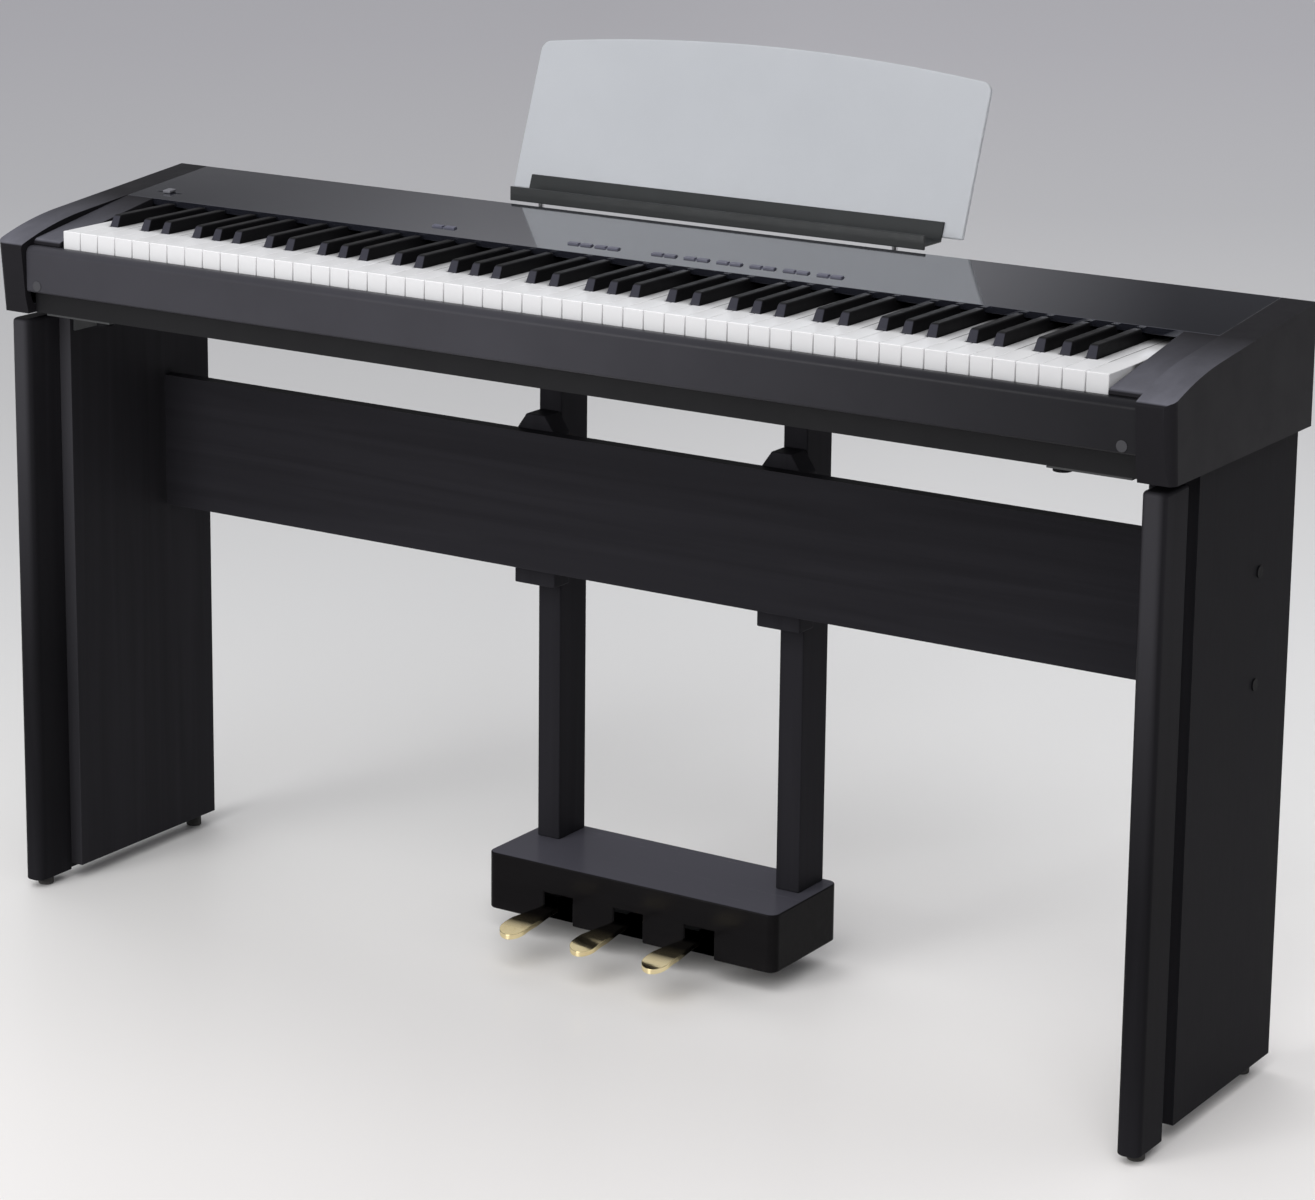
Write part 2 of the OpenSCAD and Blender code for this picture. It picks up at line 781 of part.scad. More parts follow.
module pillar(side) {
    h = stand_h - pillar_gap - pillar_foot;
    color(satin_black)
        translate([side * (stand_x - pillar_t / 2), pillar_y, pillar_foot])
            linear_extrude(height = h) round_plan(pillar_t, pillar_d, pillar_r, back = false);
}

module leg_glides() {
    color(dark_grey)
        for (s = [-1, 1]) {
            translate([s * (stand_x - pillar_t / 2), pillar_y + glide_in, 0]) cylinder(d = glide_d, h = pillar_foot);
            translate([s * joint_x, board_y + inner_d - 14, 0]) cylinder(d = glide_d, h = board_foot);
        }
}

bolt_d = 6;
bolt_head_d = 12;
bolt_head_h = 1.5;
bolt_in = 24;

// Shafts of the bolts that go through the right leg into the beam
module beam_bolts(r) {
    for (z = [beam_z + 14, beam_z + beam_h - bolt_in])
        translate([inner_x - 30, beam_y + beam_t / 2, z])
            rotate([0, 90, 0]) cylinder(r = r, h = stand_x - inner_x + 30 + eps);
}

module cross_beam() {
    color(satin_black)
        difference() {
            translate([-inner_x, beam_y, beam_z]) cube([2 * inner_x, beam_t, beam_h]);
            for (m = [0, 1]) mirror([m, 0, 0]) beam_bolts(bolt_d / 2 + hole_clear);
        }
}

bracket_t = 3;
bracket_w = 32;
plate_w = 86;
bracket_drop = 26;
rear_bracket_y = board_y + 180;
bracket_screw_d = 6;
bracket_head_d = 18;
bracket_head_h = 3;
bracket_spots = [
    [inner_x - 74, key_y + 10], [inner_x - 23, key_y + 22], [inner_x - bracket_w / 2, rear_bracket_y + 15]
];

module bracket_screws(r) {
    for (s = [-1, 1], spot = bracket_spots)
        translate([s * spot[0], spot[1], stand_h - bracket_t - eps])
            cylinder(r = r, h = bracket_t + case_t + 2);
}

// Brackets that screw the legs to the case: a plate that reaches forward and an angle at the back
module leg_brackets() {
    color(dark_grey)
        difference() {
            for (m = [0, 1])
                mirror([m, 0, 0]) {
                    translate([inner_x - plate_w, key_y + 1, stand_h - bracket_t])
                        cube([plate_w, board_y + 40 - key_y - 1, bracket_t]);
                    translate([inner_x - 3, board_y + 5, stand_h - bracket_drop])
                        cube([3, 35, bracket_drop - bracket_t + eps]);
                    translate([inner_x - bracket_w, rear_bracket_y, stand_h - bracket_t])
                        cube([bracket_w, 30, bracket_t]);
                    translate([inner_x - 3, rear_bracket_y, stand_h - bracket_drop])
                        cube([3, 30, bracket_drop - bracket_t + eps]);
                }
            bracket_screws(bracket_screw_d / 2 + hole_clear);
        }
}

// Beam bolts with their heads, and the screws of the angle brackets
module stand_bolts() {
    color(steel) {
        for (m = [0, 1])
            mirror([m, 0, 0]) {
                beam_bolts(bolt_d / 2);
                for (z = [beam_z + 14, beam_z + beam_h - bolt_in])
                    translate([stand_x, beam_y + beam_t / 2, z])
                        rotate([0, 90, 0]) cylinder(d = bolt_head_d, h = bolt_head_h);
            }
        bracket_screws(bracket_screw_d / 2);
        for (s = [-1, 1], spot = bracket_spots)
            translate([s * spot[0], spot[1], stand_h - bracket_t - bracket_head_h])
                cylinder(d = bracket_head_d, h = bracket_head_h);
    }
}

module posts() {
    color(satin_black)
        for (s = [-1, 1])
            translate([s * (post_x + post_w / 2) - post_w / 2, post_y, post_z])
                cube([post_w, post_d, stand_h - post_z]);
}

// Blocks that hold the posts to the back of the beam, with cut upper corners
module post_clamps() {
    over = 16;
    under = 21;
    cut = 20;
    z0 = beam_z - under;
    z1 = beam_z + beam_h + over;
    color(satin_black)
        for (s = [-1, 1])
            translate([s * clamp_x, clamp_y + clamp_t, 0])
                rotate([90, 0, 0])
                    linear_extrude(height = clamp_t)
                        polygon([
                            [-clamp_w / 2, z0], [clamp_w / 2, z0], [clamp_w / 2, z1 - cut],
                            [clamp_w / 2 - cut * 0.7, z1], [cut * 0.7 - clamp_w / 2, z1], [-clamp_w / 2, z1 - cut]
                        ]);
}

// ---- Pedal unit ----

axle_y = box_back_y - 26;
axle_z = box_z + 19;
base_t = 4;
base_in = 64;
slot_w = pedal_w + 6;
slot_top = box_z + 31;
tip_y = box_y - pedal_reach;
pedal_top = axle_z + 4;

module pedal_cover() {
    color(satin_black)
        difference() {
            translate([0, box_y, box_z]) linear_extrude(height = box_h) round_plan(box_w, box_d, box_r);
            translate([0, box_y + box_wall, box_z - 1])
                linear_extrude(height = box_h - box_wall + 1)
                    round_plan(box_w - 2 * box_wall, box_d - 2 * box_wall, box_r - box_wall);
            for (i = [-1, 0, 1])
                translate([i * pedal_step - slot_w / 2, box_y - 1, box_z - 1])
                    cube([slot_w, box_wall + 3, slot_top - box_z + 1]);
        }
}

// Steel floor of the pedal box, with ears for the axle
module pedal_base() {
    ear = [4, 16, axle_z - box_z + 8];
    w = box_w - 2 * box_wall;
    color(steel)
        difference() {
            union() {
                translate([-w / 2, box_y + base_in, box_z]) cube([w, box_d - base_in - box_r, base_t]);
                for (x = ear_xs)
                    translate([x - ear[0] / 2, axle_y - ear[1] / 2, box_z]) cube(ear);
            }
            translate([-box_w / 2, axle_y, axle_z]) rotate([0, 90, 0]) cylinder(d = axle_d + 2 * hole_clear, h = box_w);
            translate([0, adjuster_y, box_z - 1]) cylinder(d = stud_d + 2 * hole_clear, h = base_t + 2);
        }
}

ear_xs = [for (k = [-1, 1]) for (j = [0.5, 1.5]) k * j * pedal_step];
hub_w = 22;
hub_r = axle_d / 2 + 4;

module pedal_axle() {
    l = 3 * pedal_step + 12;
    color(steel) translate([-l / 2, axle_y, axle_z]) rotate([0, 90, 0]) cylinder(d = axle_d, h = l);
}

// A lever on the axle that widens to a rounded paddle with a drooping tip
module pedal(i) {
    r = pedal_w / 2;
    root = 9;
    low = pedal_top - pedal_t;
    run = axle_y - tip_y;
    bow_r = 90;
    bow_in = 32;
    bow_end = 90 + asin(bow_in / (bow_r - pedal_t)) + 1;
    color(brass)
        translate([i * pedal_step, 0, 0])
            difference() {
                union() {
                    intersection() {
                        translate([0, 0, low - 20])
                            linear_extrude(height = pedal_t + 40)
                                union() {
                                    translate([0, tip_y + r]) circle(r);
                                    polygon([
                                        [-r, tip_y + r], [r, tip_y + r], [r, tip_y + 34],
                                        [root, tip_y + 72], [root, axle_y], [-root, axle_y],
                                        [-root, tip_y + 72], [-r, tip_y + 34]
                                    ]);
                                }
                        along_x(-r - 1, r + 1)
                            polygon(concat(
                                [[axle_y, low], [axle_y, pedal_top], [tip_y + bow_in, pedal_top]],
                                arc(tip_y + bow_in, pedal_top - bow_r, bow_r, 90, bow_end, 8),
                                arc(tip_y + bow_in, pedal_top - bow_r, bow_r - pedal_t, bow_end, 90, 8)
                            ));
                    }
                    translate([-hub_w / 2, axle_y, axle_z]) rotate([0, 90, 0]) cylinder(r = hub_r, h = hub_w);
                }
                translate([-hub_w, axle_y, axle_z])
                    rotate([0, 90, 0]) cylinder(r = axle_d / 2 + running, h = 2 * hub_w);
            }
}

// Coils round the axle beside each hub, with a leg on the base
module pedal_springs() {
    wire = 1.2;
    turns = 6;
    ring_r = axle_d / 2 + wire + 0.3;
    color(steel)
        for (i = [-1, 0, 1])
            translate([i * pedal_step + hub_w / 2 + 1.6, axle_y, axle_z]) {
                rotate([0, 90, 0])
                    for (k = [0 : turns - 1])
                        translate([0, 0, k * 1.7 * wire]) rotate_extrude() translate([ring_r, 0]) circle(wire, $fn = 16);
                translate([(turns - 1) * 1.7 * wire, ring_r, -(axle_z - box_z - base_t)])
                    cylinder(r = wire, h = axle_z - box_z - base_t, $fn = 16);
            }
}

adjuster_y = box_y + 84;
stud_d = 8;

module pedal_adjuster() {
    color(dark_grey)
        translate([0, adjuster_y, 0]) {
            cylinder(d = 30, h = 8);
            translate([0, 0, 8 - eps]) cylinder(d = stud_d, h = box_z + base_t + 1 - 8);
            translate([0, 0, box_z - 6]) cylinder(d = 15, h = 6);
        }
}

bottom_case();
key_slip();
end_cap(-1);  // end_cap_left
end_cap(1);  // end_cap_right
key_blocks();
top_panel();
rear_panel();
key_frame();
pivot_rail();
key_felts();
main_board();
panel_board();
speakers();
rear_sockets();
screw_caps();
volume_knob();
rocker(0);  // rocker_low
rocker(1);  // rocker_mid_1
rocker(2);  // rocker_mid_2
rocker(3);  // rocker_row_1
rocker(4);  // rocker_row_2
rocker(5);  // rocker_row_3
rocker(6);  // rocker_row_4
rocker(7);  // rocker_row_5
rocker(8);  // rocker_row_6
white_keys(0);  // keys_c
black_keys(0);  // keys_c_sharp
white_keys(1);  // keys_d
black_keys(1);  // keys_d_sharp
white_keys(2);  // keys_e
white_keys(3);  // keys_f
black_keys(3);  // keys_f_sharp
white_keys(4);  // keys_g
black_keys(4);  // keys_g_sharp
white_keys(5);  // keys_a
black_keys(5);  // keys_a_sharp
white_keys(6);  // keys_b
music_ledge();
music_panel();
rest_rods();
rest_blocks();
rest_screws();
side_board(-1);  // side_board_left
side_board(1);  // side_board_right
pillar(-1);  // pillar_left
pillar(1);  // pillar_right
cross_beam();
leg_glides();
stand_bolts();
leg_brackets();
posts();
post_clamps();
pedal_cover();
pedal_base();
pedal(-1);  // pedal_left
pedal(0);  // pedal_centre
pedal(1);  // pedal_right
pedal_axle();
pedal_springs();
pedal_adjuster();
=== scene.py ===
# Looks of the digital piano on its stand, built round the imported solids.
# Metres throughout: +X to the treble end, -Y towards the player, +Z up, the floor at z = 0.
import json
import math

import bmesh
import bpy
from mathutils import Matrix, Vector


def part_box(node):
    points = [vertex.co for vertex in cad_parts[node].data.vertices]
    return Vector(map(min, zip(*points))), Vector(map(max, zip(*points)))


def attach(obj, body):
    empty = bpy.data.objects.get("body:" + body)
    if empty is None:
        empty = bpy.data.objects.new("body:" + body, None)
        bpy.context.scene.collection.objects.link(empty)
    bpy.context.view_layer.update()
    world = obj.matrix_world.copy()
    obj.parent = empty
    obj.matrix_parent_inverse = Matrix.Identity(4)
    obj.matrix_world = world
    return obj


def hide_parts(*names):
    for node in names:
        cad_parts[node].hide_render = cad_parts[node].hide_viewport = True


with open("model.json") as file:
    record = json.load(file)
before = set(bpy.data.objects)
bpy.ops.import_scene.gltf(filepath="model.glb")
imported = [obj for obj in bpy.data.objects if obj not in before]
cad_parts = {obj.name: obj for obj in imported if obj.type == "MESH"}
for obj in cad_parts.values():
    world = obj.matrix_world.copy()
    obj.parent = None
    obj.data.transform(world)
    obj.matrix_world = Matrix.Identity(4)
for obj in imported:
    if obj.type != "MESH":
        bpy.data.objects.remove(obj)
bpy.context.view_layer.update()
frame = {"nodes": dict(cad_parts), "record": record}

MM = 0.001
BODIES = frame["record"]["behaviour"]["bodies"]
BODY_OF = {node: body for body, nodes in BODIES.items() for node in nodes}
SLOT_OF = {part["node"]: part["material_slot"] for part in frame["record"]["subparts"]}
KEY_PITCH = 23.55 * MM
KEY_COUNT = 52
FRONT_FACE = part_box("end_cap_left")[0].y
KEY_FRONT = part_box("keys_c")[0].y
KEY_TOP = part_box("keys_c")[1].z
BLACK_KEY_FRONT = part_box("keys_c_sharp")[0].y
PEDAL_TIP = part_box("pedal_centre")[0].y

# Edges that bend by more degrees than this are rounded and shaded sharp
SHARP_ANGLE = 25.0
# Faces that differ by fewer degrees than this are one flat face
FLAT_ANGLE = 0.12
WELD_DISTANCE = 0.002 * MM
# How far a point may lie from a face or edge and still belong to it
ON_FACE = 0.1 * MM

# The camera: turns about Z, X and Y in degrees, place in metres, with y measured from the keys' fronts
CAMERA_TURNS = (32.66, -12.63, -0.63)
CAMERA_PLACE = (2.101, -3.067, 1.465)
CAMERA_LENS = 106.6
CAMERA_SENSOR = 36
CAMERA_SHIFT = -0.15

FLOOR_HALF_SIZE = 60
# The floor lies this far under the glides, so that the two don't share a plane
FLOOR_GAP = 0.2 * MM


# ---------------------------------------------------------------- materials


class Shader:
    """A node material that is put together from noise, ramps and bumps in object space."""

    def __init__(self, name, **sockets):
        self.material = bpy.data.materials.new(name)
        self.material.use_nodes = True
        self.tree = self.material.node_tree
        self.surface = self.tree.nodes["Principled BSDF"]
        self.place = self.add("ShaderNodeTexCoord").outputs["Object"]
        for key, value in sockets.items():
            self.surface.inputs[key.replace("_", " ")].default_value = value

    def add(self, kind, **settings):
        node = self.tree.nodes.new(kind)
        for key, value in settings.items():
            setattr(node, key, value)
        return node

    def join(self, value, socket):
        if isinstance(value, bpy.types.NodeSocket):
            self.tree.links.new(value, socket)
        else:
            socket.default_value = value

    def stretched(self, stretch):
        node = self.add("ShaderNodeMapping")
        node.inputs["Scale"].default_value = stretch
        self.join(self.place, node.inputs["Vector"])
        return node.outputs["Vector"]

    def noise(self, scale, detail=3.0, roughness=0.5, stretch=(1, 1, 1), warp=0.0):
        node = self.add("ShaderNodeTexNoise")
        node.inputs["Scale"].default_value = scale
        node.inputs["Detail"].default_value = detail
        node.inputs["Roughness"].default_value = roughness
        node.inputs["Distortion"].default_value = warp
        self.join(self.stretched(stretch), node.inputs["Vector"])
        return node.outputs["Fac"]

    def ramp(self, value, stops):
        node = self.add("ShaderNodeValToRGB")
        points = node.color_ramp.elements
        while len(points) < len(stops):
            points.new(0.5)
        for point, (where, colour) in zip(points, stops):
            point.position = where
            point.color = (*colour, 1)
        self.join(value, node.inputs["Fac"])
        return node.outputs["Color"]

    def remap(self, value, low, high, to_low, to_high):
        node = self.add("ShaderNodeMapRange")
        for socket, number in zip(("From Min", "From Max", "To Min", "To Max"), (low, high, to_low, to_high)):
            node.inputs[socket].default_value = number
        self.join(value, node.inputs["Value"])
        return node.outputs["Result"]

    def math(self, operation, a, b=0.0):
        node = self.add("ShaderNodeMath", operation=operation)
        self.join(a, node.inputs[0])
        self.join(b, node.inputs[1])
        return node.outputs["Value"]

    def blend(self, share, a, b, mode="MIX"):
        node = self.add("ShaderNodeMix", data_type="RGBA", blend_type=mode)
        self.join(share, node.inputs[0])
        for socket, value in ((node.inputs[6], a), (node.inputs[7], b)):
            self.join(value if isinstance(value, bpy.types.NodeSocket) else (*value, 1), socket)
        return node.outputs[2]

    def axis(self, letter):
        node = self.add("ShaderNodeSeparateXYZ")
        self.join(self.place, node.inputs["Vector"])
        return node.outputs[letter]

    def facing(self, letter):
        """How far the surface faces along an axis, from -1 to 1."""
        node = self.add("ShaderNodeSeparateXYZ")
        self.join(self.add("ShaderNodeNewGeometry").outputs["Normal"], node.inputs["Vector"])
        return node.outputs[letter]

    def edges(self, radius):
        """1 on sharp edges and 0 on flat ground, from how a rounded normal departs from the true one."""
        soft = self.add("ShaderNodeBevel", samples=4)
        soft.inputs["Radius"].default_value = radius
        true = self.add("ShaderNodeNewGeometry")
        dot = self.add("ShaderNodeVectorMath", operation="DOT_PRODUCT")
        self.join(soft.outputs["Normal"], dot.inputs[0])
        self.join(true.outputs["Normal"], dot.inputs[1])
        return self.remap(dot.outputs["Value"], 0.99, 0.80, 0.0, 1.0)

    def colour(self, value):
        self.join(value, self.surface.inputs["Base Color"])

    def roughness(self, value):
        self.join(value, self.surface.inputs["Roughness"])

    def bump(self, *layers):
        """Stacks (height, depth in metres) layers into the surface's normal."""
        below = None
        for height, depth in layers:
            node = self.add("ShaderNodeBump")
            node.inputs["Distance"].default_value = depth
            node.inputs["Strength"].default_value = 1.0
            self.join(height, node.inputs["Height"])
            if below is not None:
                self.join(below, node.inputs["Normal"])
            below = node.outputs["Normal"]
        self.join(below, self.surface.inputs["Normal"])


def satin_plastic(name, tone, rough, level=0.4, nose=0.0, fade=0.0):
    """Moulded plastic with a fine spark-eroded grain, worn a little paler along its edges.

    nose is how pale its upper faces are painted towards the player, a painted highlight.
    fade is how much darker it is painted from its middle to the treble end, from 0 to 1, as painted shade.
    """
    s = Shader(name, Specular_IOR_Level=level)
    cloud = s.noise(9, 4, 0.6)
    pores = s.noise(1700, 2, 0.6)
    dark = tuple(0.93 * c for c in tone)
    pale = tuple(1.08 * c for c in tone)
    body = s.ramp(cloud, [(0.3, dark), (0.7, pale)])
    worn = s.math("MULTIPLY", s.edges(0.0012), s.remap(s.noise(60, 4, 0.7), 0.45, 0.7, 0.0, 0.35))
    body = s.blend(worn, body, tuple(2.4 * c + 0.01 for c in tone))
    # Painted highlight: upper faces near the front are made paler, in streaks
    if nose:
        upper = s.remap(s.facing("Z"), 0.55, 0.85, 0.0, 1.0)
        depth = s.math("ADD", s.axis("Y"), s.math("MULTIPLY", cloud, 0.05))
        near = s.remap(depth, FRONT_FACE + 0.03, FRONT_FACE + 0.20, 1.0, 0.0)
        streaks = s.remap(s.noise(40, 4, 0.6, stretch=(1, 0.4, 1)), 0.3, 0.7, 0.7, 1.0)
        wear_and_painted_highlight = s.math("MULTIPLY", s.math("MULTIPLY", upper, near), streaks)
        body = s.blend(wear_and_painted_highlight, body, (nose, nose, 1.18 * nose))
    # Painted shade: darker towards the treble end
    if fade:
        body = s.blend(s.remap(s.axis("X"), -0.05, 0.62, 0.0, fade), body, (0.002, 0.002, 0.0025))
    s.colour(body)
    s.roughness(s.remap(s.noise(26, 5, 0.65), 0.3, 0.7, rough - 0.05, rough + 0.06))
    s.bump((pores, 0.04 * MM), (s.noise(420, 2, 0.5), 0.024 * MM))
    return s.material


def gloss_plastic(name, tone, rough):
    """Smooth lacquered plastic: hair scratches, faint ripples and a little dust."""
    s = Shader(
        name, Coat_Weight=1.0, Coat_Roughness=0.8 * rough, Coat_IOR=1.95, Specular_IOR_Level=0.35,
        Specular_Tint=(0.4, 0.52, 1.0, 1),
    )
    cloud = s.noise(5, 3, 0.5)
    dust = s.remap(s.noise(900, 3, 0.7), 0.66, 0.74, 0.0, 0.10)
    body = s.ramp(cloud, [(0.35, tuple(0.9 * c for c in tone)), (0.65, tuple(1.12 * c for c in tone))])
    s.colour(s.blend(dust, body, (0.22, 0.22, 0.23)))
    hairs = s.noise(70, 5, 0.7, stretch=(1, 18, 18), warp=0.6)
    s.roughness(s.remap(hairs, 0.35, 0.75, rough, rough + 0.07))
    s.bump((s.noise(14, 2, 0.4), 0.00008), (hairs, 0.000004))
    return s.material


def key_place(s):
    """A number of its own for each white key's width along the keyboard."""
    step = s.math("DIVIDE", s.math("ADD", s.axis("X"), KEY_COUNT * KEY_PITCH / 2), KEY_PITCH)
    chance = s.add("ShaderNodeTexWhiteNoise", noise_dimensions="1D")
    s.join(s.math("FLOOR", step), chance.inputs["W"])
    return chance.outputs["Value"]


def white_key_plastic():
    """Polished key tops: each a shade apart, faintly yellower and duller where fingers play.

    Their fronts are painted darker, and the nooks between the black keys much darker: painted shade.
    """
    s = Shader("white_key_plastic", Coat_Weight=0.25, Coat_Roughness=0.12)
    played = s.remap(s.axis("Y"), KEY_FRONT + 0.004, KEY_FRONT + 0.06, 1.0, 0.0)
    smudge = s.remap(s.noise(45, 5, 0.65), 0.42, 0.68, 0.0, 1.0)
    shade = s.blend(key_place(s), (0.80, 0.80, 0.805), (0.825, 0.825, 0.835))
    touched = s.math("MULTIPLY", s.math("MULTIPLY", played, smudge), 0.08)
    shade = s.blend(touched, shade, (0.78, 0.77, 0.73))
    # Painted shade: the tops among the black keys turn dark where they are shut in
    nook = s.add("ShaderNodeAmbientOcclusion", samples=16)
    nook.inputs["Distance"].default_value = 0.030
    among_blacks = s.remap(s.axis("Y"), BLACK_KEY_FRONT - 0.007, BLACK_KEY_FRONT + 0.002, 0.0, 1.0)
    painted_nook_shade = s.math("MULTIPLY", s.remap(nook.outputs["AO"], 0.55, 1.0, 0.82, 0.0), among_blacks)
    # Painted shade: the faces towards the player are darker
    shade = s.blend(s.remap(s.facing("Y"), -0.5, -0.9, 0.0, 1.0), shade, (0.62, 0.62, 0.63))
    s.colour(s.blend(painted_nook_shade, shade, (0.040, 0.039, 0.041)))
    s.roughness(s.remap(s.math("ADD", s.math("MULTIPLY", smudge, 0.15), key_place(s)), 0.0, 1.5, 0.29, 0.34))
    s.bump((s.noise(260, 3, 0.5, stretch=(1, 0.15, 1)), 0.000004), (s.noise(1500, 2, 0.5), 0.000003))
    return s.material


def black_key_plastic():
    """Matte black key tops with a faint lengthwise grain; their faces towards the player are painted paler, a
    painted highlight, and their edges a touch paler.
    """
    s = Shader("black_key_plastic", Specular_IOR_Level=0.08)
    grain = s.noise(520, 4, 0.6, stretch=(1, 0.05, 1))
    body = s.ramp(grain, [(0.3, (0.0040, 0.0040, 0.0045)), (0.75, (0.0075, 0.0070, 0.0080))])
    # Painted highlight: the faces towards the player are paler
    body = s.blend(s.remap(s.facing("Y"), -0.35, -0.75, 0.0, 1.0), body, (0.034, 0.034, 0.044))
    s.colour(s.blend(s.math("MULTIPLY", s.edges(0.0016), 0.08), body, (0.075, 0.072, 0.085)))
    s.roughness(s.remap(s.noise(70, 4, 0.6), 0.3, 0.7, 0.34, 0.46))
    s.bump((grain, 0.00004), (s.noise(1300, 2, 0.5), 0.00001))
    return s.material


def black_laminate(
    name, along, tone=(0.0175, 0.0170, 0.0200), rough=0.46, level=0.015, crest=0.0, low=0.0, front=0.0
):
    """Black foil on board: an embossed wood grain along one axis, a satin sheen and rubbed edges.

    crest is how pale its level upper faces are painted, a painted reflection; front is how pale the faces towards
    the player are painted higher up, a painted highlight;
    low is how much darker it is painted below knee height, from 0 to 1, as painted shade.
    """
    slow, fast = 0.035, 1.0
    stretch = tuple(slow if axis == along else fast for axis in "XYZ")
    s = Shader(name, Specular_IOR_Level=level)
    pores = s.noise(900, 5, 0.65, stretch=stretch, warp=0.2)
    bands = s.noise(55, 4, 0.55, stretch=stretch, warp=0.8)
    dark, pale = (tuple(share * c for c in tone) for share in (0.87, 1.13))
    body = s.ramp(bands, [(0.32, dark), (0.68, pale)])
    # Painted highlight on the faces towards the player, higher up
    if front:
        forward = s.remap(s.facing("Y"), -0.6, -0.95, 0.0, 1.0)
        lit = s.math("MULTIPLY", forward, s.remap(s.axis("Z"), 0.22, 0.52, 0.0, 1.0))
        body = s.blend(lit, body, (front, 0.98 * front, 1.10 * front))
    # Painted reflection on the level upper faces
    if crest:
        level_face = s.remap(s.facing("Z"), 0.7, 0.95, 0.0, 1.0)
        body = s.blend(level_face, body, (crest, 0.98 * crest, 1.2 * crest))
    # Painted shade low down
    if low:
        heights = ((0.0, 0.35), (0.09, 0.8), (0.26, 1.0), (0.58, 0.0))
        shade = s.ramp(s.axis("Z"), [(height, (dark_share,) * 3) for height, dark_share in heights])
        body = s.blend(s.math("MULTIPLY", shade, low), body, (0.002, 0.002, 0.0022))
    wear_and_painted_highlight = s.math("MULTIPLY", s.edges(0.0014), s.remap(s.noise(38, 5, 0.7), 0.4, 0.72, 0.05, 0.5))
    s.colour(s.blend(wear_and_painted_highlight, body, (0.06, 0.058, 0.062)))
    s.roughness(s.remap(s.math("ADD", pores, bands), 0.7, 1.3, rough - 0.06, rough + 0.06))
    s.bump((bands, 0.00004), (pores, 0.00005))
    return s.material


def brass_plate():
    """Polished brass: brushed along the pedal, with soft tarnish. The stem behind the foot plate is painted dull
    brown, as painted shade.
    """
    s = Shader("brass_plate", Metallic=1.0)
    brush = s.noise(900, 4, 0.6, stretch=(1, 0.03, 1))
    stain = s.noise(30, 5, 0.65, warp=0.4)
    metal = s.ramp(stain, [(0.3, (0.90, 0.78, 0.48)), (0.62, (0.86, 0.72, 0.41)), (0.85, (0.62, 0.46, 0.22))])
    depth = s.math("ADD", s.axis("Y"), s.math("MULTIPLY", stain, 0.012))
    # Painted shade: the stem behind the foot plate is dark brown
    stem = s.remap(depth, PEDAL_TIP + 0.040, PEDAL_TIP + 0.062, 0.0, 1.0)
    s.colour(s.blend(stem, metal, (0.060, 0.045, 0.028)))
    s.roughness(s.remap(s.math("ADD", s.math("MULTIPLY", brush, 0.4), stain), 0.4, 1.2, 0.07, 0.20))
    s.bump((brush, 0.000006), (s.noise(60, 3, 0.5), 0.00002))
    return s.material


def brushed_steel():
    """Bright steel, brushed across the piano."""
    tone = (0.56, 0.56, 0.58)
    s = Shader("bright_steel", Metallic=1.0)
    brush = s.noise(800, 4, 0.6, stretch=(0.04, 1, 1))
    s.colour(s.ramp(s.noise(40, 4, 0.6), [(0.3, tuple(0.8 * c for c in tone)), (0.7, tone)]))
    s.roughness(s.remap(brush, 0.3, 0.7, 0.24, 0.42))
    s.bump((brush, 0.00002))
    return s.material


def powder_coat(name, tone, rough, level=0.5):
    """Orange-peel powder coat over folded sheet steel."""
    s = Shader(name, Specular_IOR_Level=level)
    peel = s.noise(1100, 2, 0.5)
    dark, pale = (tuple(share * c for c in tone) for share in (0.85, 1.15))
    s.colour(s.ramp(s.noise(14, 4, 0.6), [(0.3, dark), (0.7, pale)]))
    s.roughness(s.remap(s.noise(120, 4, 0.6), 0.3, 0.7, rough - 0.05, rough + 0.07))
    s.bump((peel, 0.00006), (s.noise(320, 3, 0.6), 0.00005))
    return s.material


def frosted_acrylic():
    """Cast acrylic sheet with a satin face: light goes through it softly, and its edges are painted paler as a
    painted glow.
    """
    s = Shader("frosted_acrylic", Transmission_Weight=0.42, IOR=1.49)
    # Painted glow: the edges are paler
    rim = s.edges(0.0025)
    mist = s.noise(7, 4, 0.6)
    body = s.ramp(mist, [(0.3, (0.575, 0.595, 0.625)), (0.7, (0.605, 0.625, 0.655))])
    s.colour(s.blend(s.math("MULTIPLY", rim, 0.7), body, (0.84, 0.87, 0.90)))
    s.roughness(s.remap(s.noise(160, 4, 0.6), 0.3, 0.7, 0.34, 0.44))
    s.bump((s.noise(1400, 2, 0.6), 0.00001))
    return s.material


def felt_cloth():
    """Red wool felt, fuzzy and dull."""
    s = Shader("felt_cloth", Sheen_Weight=0.6, Sheen_Roughness=0.5, Specular_IOR_Level=0.1)
    fibre = s.noise(1600, 5, 0.75, stretch=(1, 0.4, 0.4), warp=1.2)
    s.colour(s.ramp(fibre, [(0.3, (0.13, 0.012, 0.012)), (0.7, (0.33, 0.045, 0.04))]))
    s.roughness(s.remap(fibre, 0.3, 0.7, 0.85, 1.0))
    s.bump((fibre, 0.0003))
    return s.material


